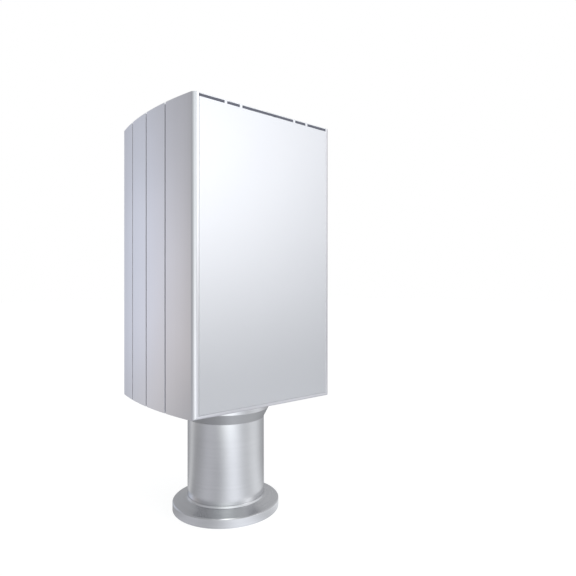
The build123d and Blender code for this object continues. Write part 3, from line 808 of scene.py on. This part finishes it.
def flange_section():
    """Half section of the flange: rim, back cone, weld lip, tube socket and the centring ring's seat."""
    foot, lip_top = heights("port_flange")
    tube_foot = heights("sensor_tube")[0]
    rim_break, cone_break, lip_wall = 0.3, 0.34, 0.17
    cone_r = TUBE_R + lip_wall + 0.08
    cone_top = RIM_H + (FLANGE_R - cone_break - cone_r) * CONE_SLOPE
    return [
        (SEAT_R, foot),
        (FLANGE_R - rim_break, foot),
        (FLANGE_R, foot + rim_break),
        (FLANGE_R, RIM_H - cone_break),
        (FLANGE_R - cone_break, RIM_H),
        (cone_r, cone_top),
        (TUBE_R + lip_wall, lip_top - 0.05),
        (TUBE_R, lip_top),
        (TUBE_R, tube_foot),
        (BORE_R, tube_foot),
        (BORE_R, SEAT_DEPTH),
        (SEAT_R, SEAT_DEPTH),
    ]


def tube_section():
    """Half section of the tube: its neck cone, collar, shoulder and the header's seat."""
    foot, top = heights("sensor_tube")
    shoulder = heights("tube_gasket")[1]
    header = heights("feedthrough_header")[0]
    return [
        (BORE_R, foot),
        (TUBE_R, foot),
        (TUBE_R, NECK_FOOT),
        (COLLAR_R, NECK_TOP),
        (COLLAR_R, shoulder),
        (SHOULDER_R, shoulder),
        (SHOULDER_R, shoulder + SHOULDER_T),
        (COLLAR_R, shoulder + SHOULDER_T),
        (COLLAR_R, top),
        (HEADER_SEAT_R, top),
        (HEADER_SEAT_R, header),
        (BORE_R, header),
    ]


class GAUGE_OT_round_housing(bpy.types.Operator):
    """Round off the edges of the extrusion, the covers, the foil and the sheet parts of the connector"""

    bl_idname = "gauge.round_housing"
    bl_label = "Round Edges"

    def execute(self, context):
        edge = context.scene.gauge_sizes.housing_edge / MM
        for name, node, width in (
            ("housing_extrusion", "housing", edge),
            ("front_foil_sheet", "front_panel", 0.06),
            ("top_cover_sheet", "top_cover", 0.2),
            ("bottom_cover_sheet", "bottom_cover", 0.2),
            ("connector_shell_drawn", "connector_shell", 0.16),
            ("connector_moulding", "connector_insulator", 0.1),
            ("clamp_ring_turned", "clamp_ring", 0.25),
            ("electrometer_can_drawn", "electrometer_can", 0.25),
            ("transformer_core_pressed", "transformer_core", 0.4),
        ):
            add_piece(name, softened(node, width), node, shaded=True)
        return {"FINISHED"}


class GAUGE_OT_wind_electrodes(bpy.types.Operator):
    """Wind the anode grid and bend the two cathodes"""

    bl_idname = "gauge.wind_electrodes"
    bl_label = "Wind Electrodes"

    def execute(self, context):
        sizes = context.scene.gauge_sizes
        grid = winding().grow(
            chain([]),
            finish_of("anode_grid"),
            Turns=GRID_TURNS,
            Radius=GRID_R * MM,
            Height=GRID_TURNS * GRID_PITCH * MM,
            Low=GRID_FOOT * MM,
            Wire=sizes.grid_wire / 2,
            Steps=48,
        )
        add_piece("anode_grid_wound", grid, "anode_grid")
        ribbons = bending()
        top = heights("filament_posts")[0]
        tip = top - CATHODE_LENGTH
        side = [(POST_X, top - 0.05), (1.1, tip + 1.2), (CATHODE_TIP_X, tip)]
        hairpin = [(-x, z) for x, z in side] + side[::-1]
        for name, y in (("cathode_front", -POST_Y), ("cathode_rear", POST_Y)):
            path = chain([(x, y, z) for x, z in hairpin])
            ribbon = {"Bend": 1.2 * MM, "Width": sizes.ribbon_width, "Thickness": 0.15 * MM}
            add_piece(name, ribbons.grow(path, finish_of("cathode_filaments"), **ribbon), "cathode_filaments")
        return {"FINISHED"}


class GAUGE_OT_set_pins(bpy.types.Operator):
    """Set the round pins, rods, sockets and glass seals, and the connector's contacts"""

    bl_idname = "gauge.set_pins"
    bl_label = "Set Pins"

    def execute(self, context):
        contact = pin("connector_contacts", 0.5, 0.45)
        for name, node, shape, places in (
            ("header_pins", "feedthrough_pins", pin("feedthrough_pins", 0.5, 0.3), HEADER_PINS),
            ("header_glass", "glass_seals", glass_seal(), HEADER_PINS),
            ("header_sockets", "pin_sockets", pin_socket(), HEADER_PINS),
            ("cathode_posts", "filament_posts", pin("filament_posts", 0.4, 0.15), POSTS),
            ("grid_rods_drawn", "grid_rods", pin("grid_rods", 0.45, 0.2), RODS),
            ("collector_wire", "ion_collector", pin("ion_collector", 0.15, 0.1), AXIS),
            ("plug_contacts", "connector_contacts", contact, FRONT_ROW + REAR_ROW),
        ):
            add_piece(name, stand(shape, places, finish_of(node)), node)
        return {"FINISHED"}


def pin(node, radius, tip):
    """Round pin as long as the solid's, with domed ends."""
    low, high = heights(node)
    return loft(dome(radius, low + tip, low)[::-1] + dome(radius, high - tip, high))


def glass_seal():
    """Ring of glass whose inner edge creeps up its pin on both faces."""
    low, high = heights("glass_seals")
    rise = [(0.5, 0.2), (0.62, 0.07), (0.9, 0), (1.25, 0)]
    section = [(r, low - h) for r, h in rise] + [(r, high + h) for r, h in rise[::-1]]
    return loft([ring(r, z) for r, z in section], hollow=True)


def pin_socket():
    """Sleeve with a collar in its board and a mouth that leads the pin in."""
    low, high = heights("pin_sockets")
    sleeve = [(0.5, low), (0.9, low), (0.9, low + 1.2), (0.95, low + 1.2), (0.95, low + 3)]
    mouth = [(0.9, low + 3), (0.9, high - 0.1), (0.8, high), (0.5, high - 0.25)]
    return loft([ring(r, z, 16) for r, z in sleeve + mouth], hollow=True)


class GAUGE_OT_drive_screws(bpy.types.Operator):
    """Drive the screws of the covers and the clamp, and the connector's jack screws"""

    bl_idname = "gauge.drive_screws"
    bl_label = "Drive Screws"

    def execute(self, context):
        pitch = context.scene.gauge_sizes.thread_pitch / MM
        spin = math.radians(60)
        upper = raised(COVER_SCREWS, heights("top_cover_screws")[1])
        lower = raised(COVER_SCREWS, heights("bottom_cover_screws")[0])
        inner = raised(CLAMP_SCREWS, heights("clamp_ring")[1])
        for name, node, shape, places, turn, seed in (
            ("cover_screws_top", "top_cover_screws", cover_screw(pitch, 1), upper, spin, 1),
            ("cover_screws_bottom", "bottom_cover_screws", cover_screw(pitch, -1), lower, spin, 2),
            ("clamp_screws_socketed", "clamp_ring_screws", clamp_screw(pitch), inner, spin, 3),
            ("jack_screws_tapped", "connector_jack_screws", jack_screw(pitch), JACKS, 0.0, 0),
        ):
            add_piece(name, stand(shape, places, finish_of(node), turn, seed), node)
        return {"FINISHED"}


def raised(places, height):
    """Places in a plane, lifted to a height."""
    return [(x, y, height) for x, y in places]


def cover_screw(pitch, way):
    """Countersunk screw with its face at the origin and its shank below it, or above it where way is -1."""
    shank = [ring(0.8, -10), ring(1.15, -9.6), *thread(1.2, 1.0, -9.4, -3.2, pitch), ring(1.18, -2.6)]
    head = [ring(1.18, -1.2), ring(2.2, -0.16), ring(2.3, -0.08), ring(2.26, 0)]
    rings = shank + head + hex_drive(HEX_R, 0, 0.9)
    return loft([[(x, y, way * z) for x, y, z in points] for points in rings])


def clamp_screw(pitch):
    """Cap screw with the seat of its head at the origin."""
    shank = [ring(0.7, -5.4), ring(0.93, -5.2), *thread(0.95, 0.8, -5.1, -3.9, pitch)]
    neck = [ring(0.95, -3.8), ring(0.95, 0)]
    head = [ring(1.7, 0), ring(1.8, 0.1), ring(1.8, 1.2), ring(1.65, 1.4)]
    return loft(shank + neck + head + hex_drive(HEX_R, 1.4, 0.93))


def jack_screw(pitch):
    """Jack screw at its own height: a threaded stud, a hexagon and a tapped hole for the plug's screw."""
    low, high = heights("connector_jack_screws")
    seat = high - 5
    flat_r = 2.375
    stud = [ring(1.2, low), ring(1.42, low + 0.2), *thread(1.42, 1.28, low + 0.3, low + 2.1, pitch)]
    neck = [ring(1.42, low + 2.2), ring(1.42, seat)]
    foot = [ring(flat_r - 0.075, seat, flats=6), ring(flat_r, seat + 0.1, flats=6)]
    top = [ring(flat_r, high - 0.4, flats=6, reach=2.7), ring(flat_r, high, flats=6, reach=2.42)]
    mouth = [ring(1.5, high), ring(1.2, high - 0.25)]
    bore = [*thread(1.2, 1.02, high - 0.4, high - 3.7, -pitch), ring(1.02, high - 3.9), ring(0.3, high - 4.2)]
    return loft(stud + neck + foot + top + mouth + bore)


def thread(crest, root, start, end, pitch):
    """Rings of a thread's flanks between two heights."""
    turns = round((end - start) / pitch)
    places = [start + pitch * i / 2 for i in range(2 * turns)]
    return [ring(root if i % 2 else crest, z) for i, z in enumerate(places)]


def hex_drive(inner_r, top, depth):
    """Rings of a hexagonal drive with a broken edge and a drilled floor."""
    edge = [ring(inner_r + 0.12, top, flats=6), ring(inner_r, top - 0.1, flats=6)]
    floor = [ring(inner_r, top - depth, flats=6), ring(inner_r * 0.8, top - depth)]
    return edge + floor + [ring(0.1, top - depth - 0.2)]


class GAUGE_OT_fit_boards(bpy.types.Operator):
    """Give the chips their legs, the capacitors their crimped cans, and the moulded parts their soft edges"""

    bl_idname = "gauge.fit_boards"
    bl_label = "Fit Boards"

    def execute(self, context):
        for name, node, width in (
            ("chip_bodies", "main_board_chips", 0.15),
            ("header_strips_moulded", "board_connectors", 0.15),
            ("transformer_coil_taped", "transformer_coil", 0.3),
        ):
            add_piece(name, softened(node, width), node, shaded=True)
        tin = finish_of("electrometer_can")
        add_piece("chip_legs", chip_legs(tin))
        sleeves = stand(capacitor_sleeve(), CAPACITORS, finish_of("power_capacitors"))
        add_piece("capacitor_sleeves", sleeves, "power_capacitors")
        add_piece("capacitor_tops", stand(capacitor_top(), CAPACITORS, tin))
        return {"FINISHED"}


def chip_legs(material):
    """Bent legs on the four sides of the controller and on two sides of the other chips."""
    path = chain([(-0.2, 0.65, 0), (0.25, 0.65, 0), (0.45, 0.08, 0), (0.95, 0.08, 0)])
    leg = bending().grow(path, material, Bend=0.12 * MM, Width=LEG_T * MM, Thickness=LEG_W * MM)
    sides = []
    for quarter in range(4):
        turned = leg.copy()
        turned.transform(Matrix.Rotation(math.radians(-90 * quarter), 4, "Y"))
        sides.append(stand(turned, leg_places(quarter), material))
    bpy.data.meshes.remove(leg)
    return joined(sides, material)


def leg_places(quarter):
    """Places of the legs on one side of the chips, counted in quarter turns from the right."""
    way = 1 if quarter < 2 else -1
    if quarter % 2:
        return [(step, BOARD_FACE, BOARD_MIDDLE + CONTROLLER_HALF * way) for step in CONTROLLER_LEGS]
    places = [(CONTROLLER_HALF * way, BOARD_FACE, BOARD_MIDDLE + step) for step in CONTROLLER_LEGS]
    for x in (-CHIP_X, CHIP_X):
        for z in centred(3, CHIP_STEP):
            places += [(x + CHIP_HALF * way, BOARD_FACE, BOARD_MIDDLE + z + step) for step in CHIP_LEGS]
    return places


def joined(meshes, material):
    """One mesh out of several, of one material."""
    shape = bmesh.new()
    for mesh in meshes:
        shape.from_mesh(mesh)
        bpy.data.meshes.remove(mesh)
    whole = bpy.data.meshes.new("joined")
    shape.to_mesh(whole)
    shape.free()
    whole.materials.append(material)
    return whole


def capacitor_sleeve():
    """Shrunk sleeve with a crimp near its foot and a rolled rim, lying with its foot on the board."""
    foot = [(3.3, 0), (3.8, 0.1), (4, 0.6)]
    crimp = [(4, 1.6), (3.7, 2), (3.7, 2.3), (4, 2.7)]
    rim = [(4, 10.3), (3.9, 10.75), (3.6, 10.95), (3.35, 10.9)]
    return laid(foot + crimp + rim)


def capacitor_top():
    """Bare end of the can inside the sleeve's rim, with a dished middle."""
    return laid([(3.3, 10.6), (3.3, 10.93), (2.2, 10.97), (2.1, 10.9), (0.3, 10.9)])


def laid(section):
    """Round body over a section, laid down so that it points to the front."""
    shape = loft([ring(r, z, 32) for r, z in section])
    shape.transform(Matrix.Rotation(math.radians(90), 4, "X"))
    return shape


# Studio


# Each light is a soft patch: its azimuth and elevation in degrees, the sharpness of its edge and its colour.
# The floor mirrors the patches as they lie round the walls' middle, which is in metres.

LEVEL = (0.40, 0.405, 0.42)
KEY = (-61, 15, 18, (2.1, 2.1, 2.1))
FRONT_FILL = (-120, 20, 4, (0.55, 0.6, 0.58))
RIGHT_FILL = (0, 20, 4, (0.2, 0.2, 0.2))
LOW_FRONT = (-122, -13, 16, (0.8, 0.82, 0.8))
EDGE_LIGHT = (-125, 70, 60, (1.6, 1.6, 1.6))
COOL_WALL = (110, 2, 16, (0.45, 0.5, 0.62))
WARM_WALL = (134, -6, 20, (0.33, 0.27, 0.22))
WALLS = (KEY, FRONT_FILL, RIGHT_FILL, LOW_FRONT, EDGE_LIGHT, COOL_WALL, WARM_WALL)
WALLS_MIDDLE = (0, 0, 0.08)

# Painted reflections: glowing patches on the floor round the foot, which only metal and glass see. They fade
# out between two distances from the axis, in millimetres.

REFLECTION_PATCHES = (
    (-170, 0, 10, (0.18, 0.18, 0.2)),
    (-106, 0, 8, (0.64, 0.66, 0.7)),
    (-40, 0, 6, (0.45, 0.46, 0.47)),
    (120, 0, 30, (0.25, 0.25, 0.25)),
)
REFLECTION_PATCHES_NEAR = 180.0
REFLECTION_PATCHES_FAR = 280.0

# The camera sees a glow of white, over a grey that takes the shadow. Other light meets a plain white floor.

FLOOR_WHITE = 0.86
FLOOR_SHADOW = 0.3
FLOOR_PLAIN = 0.8

# Level camera, fitted to the photograph: its place in metres and its heading in degrees.

CAMERA_PLACE = (-0.1149, -0.1651, 0.08305)
CAMERA_HEADING = -41.5988


def glow(tree, direction, patches, start):
    """Colour of the studio in a direction: a start, and soft patches of light round some directions."""
    tone = start
    for azimuth, elevation, sharpness, colour in patches:
        a, e = math.radians(azimuth), math.radians(elevation)
        centre = (math.cos(a) * math.cos(e), math.sin(a) * math.cos(e), math.sin(e))
        towards = {0: direction, 1: centre}
        facing = tree.node("ShaderNodeVectorMath", {"operation": "DOT_PRODUCT"}, towards, "Value")
        share = facing.math("MAXIMUM", 0.0) ** sharpness
        tone = scaled_add(tree, share, colour, tone)
    return tone


def scaled_add(tree, share, colour, base):
    """A colour times a share, added to another."""
    return tree.node("ShaderNodeVectorMath", {"operation": "MULTIPLY_ADD"}, {0: share, 1: colour, 2: base})


def heading(tree, vector):
    """A vector's direction."""
    return tree.node("ShaderNodeVectorMath", {"operation": "NORMALIZE"}, {0: vector})


def fill_sky(world):
    """Gives the world the studio's light, and shows it white to the camera."""
    sky = Tree(world.node_tree)
    tone = glow(sky, sky.node("ShaderNodeTexCoord", output="Generated"), WALLS, LEVEL)
    camera = sky.node("ShaderNodeLightPath", output="Is Camera Ray")
    shown = sky.node("ShaderNodeMix", {"data_type": "RGBA"}, {0: camera, 6: tone, 7: grey(1.0)}, output=2)
    back = sky.node("ShaderNodeBackground", None, {"Color": shown, "Strength": 1.0})
    sky.node("ShaderNodeOutputWorld", None, {"Surface": back})


def white_floor():
    """White floor that keeps a soft shadow. Metal and glass see the walls and the glowing patches of painted
    reflection in it.
    """
    f = Finish("white_floor")
    outward = f.node("ShaderNodeVectorMath", {"operation": "SUBTRACT"}, {0: f.place, 1: WALLS_MIDDLE})
    walls = glow(f, heading(f, outward), WALLS, LEVEL)
    # Painted reflections: patches that glow on the floor for metal and glass only.
    patch_glow = glow(f, heading(f, f.place), REFLECTION_PATCHES, (0, 0, 0))
    near = 1.0 - f.ramp(f.radius(), REFLECTION_PATCHES_NEAR, REFLECTION_PATCHES_FAR, kind="SMOOTHSTEP")
    tone = scaled_add(f, near, patch_glow, walls)
    mirrored = f.node("ShaderNodeEmission", None, {"Color": tone, "Strength": 1.0})
    plain_white = f.node("ShaderNodeBsdfDiffuse", None, {"Color": grey(FLOOR_PLAIN)})
    white = f.node("ShaderNodeEmission", None, {"Color": grey(1.0), "Strength": FLOOR_WHITE})
    shadow = f.node("ShaderNodeBsdfDiffuse", None, {"Color": grey(FLOOR_SHADOW)})
    shown = f.node("ShaderNodeAddShader", None, {0: shadow, 1: white})
    camera, glossy, through = (
        f.node("ShaderNodeLightPath", output=name)
        for name in ("Is Camera Ray", "Is Glossy Ray", "Is Transmission Ray")
    )
    polished = glossy.math("MAXIMUM", through)
    unseen = f.node("ShaderNodeMixShader", None, {0: polished, 1: plain_white, 2: mirrored})
    above = f.node("ShaderNodeMixShader", None, {0: camera, 1: unseen, 2: shown})
    behind = f.node("ShaderNodeNewGeometry", output="Backfacing")
    clear = f.node("ShaderNodeBsdfTransparent")
    both = f.node("ShaderNodeMixShader", None, {0: behind, 1: above, 2: clear})
    f.node("ShaderNodeOutputMaterial", None, {"Surface": both})
    return f.material


class GAUGE_OT_build_studio(bpy.types.Operator):
    """Build the camera, the studio's light and the white floor"""

    bl_idname = "gauge.build_studio"
    bl_label = "Build Studio"

    def execute(self, context):
        scene = context.scene
        studio = scene.gauge_studio
        scene.view_settings.view_transform = "Standard"

        camera = bpy.data.objects.new("camera", bpy.data.cameras.new("camera"))
        scene.collection.objects.link(camera)
        camera.location = CAMERA_PLACE
        camera.rotation_euler = (math.radians(90), 0, math.radians(CAMERA_HEADING))
        camera.data.lens = studio.lens
        camera.data.sensor_width = 36
        camera.data.clip_start = 0.01
        scene.camera = camera

        world = bpy.data.worlds.new("studio")
        scene.world = world
        world.use_nodes = True
        fill_sky(world)

        mesh = bpy.data.meshes.new("floor")
        half = studio.floor_size / 2
        corners = [(-half, -half, 0), (half, -half, 0), (half, half, 0), (-half, half, 0)]
        mesh.from_pydata(corners, [], [(0, 1, 2, 3)])
        floor = bpy.data.objects.new("floor", mesh)
        scene.collection.objects.link(floor)
        mesh.materials.append(white_floor())
        return {"FINISHED"}


class GAUGE_PT_panel(bpy.types.Panel):
    """Lists the gauge's colours, its studio and the steps that build them"""

    bl_idname = "GAUGE_PT_panel"
    bl_label = "Vacuum Gauge"
    bl_space_type = "VIEW_3D"
    bl_region_type = "UI"
    bl_category = "Gauge"

    def draw(self, context):
        layout = self.layout
        for group in (context.scene.gauge_finishes, context.scene.gauge_sizes, context.scene.gauge_studio):
            for name in group.__annotations__:
                layout.prop(group, name)
        for operator in STEPS:
            layout.operator(operator.bl_idname)


STEPS = (
    GAUGE_OT_finish_solids,
    GAUGE_OT_turn_sensor,
    GAUGE_OT_round_housing,
    GAUGE_OT_wind_electrodes,
    GAUGE_OT_set_pins,
    GAUGE_OT_drive_screws,
    GAUGE_OT_fit_boards,
    GAUGE_OT_build_studio,
)
CLASSES = (GaugeFinishes, GaugeSizes, GaugeStudio, *STEPS, GAUGE_PT_panel)


def register():
    for cls in CLASSES:
        bpy.utils.register_class(cls)
    bpy.types.Scene.gauge_finishes = PointerProperty(type=GaugeFinishes)
    bpy.types.Scene.gauge_sizes = PointerProperty(type=GaugeSizes)
    bpy.types.Scene.gauge_studio = PointerProperty(type=GaugeStudio)


def unregister():
    del bpy.types.Scene.gauge_studio
    del bpy.types.Scene.gauge_sizes
    del bpy.types.Scene.gauge_finishes
    for cls in reversed(CLASSES):
        bpy.utils.unregister_class(cls)


def main():
    register()
    bpy.ops.gauge.finish_solids()
    bpy.ops.gauge.turn_sensor()
    bpy.ops.gauge.round_housing()
    bpy.ops.gauge.wind_electrodes()
    bpy.ops.gauge.set_pins()
    bpy.ops.gauge.drive_screws()
    bpy.ops.gauge.fit_boards()
    bpy.ops.gauge.build_studio()


if __name__ == "__main__":
    main()
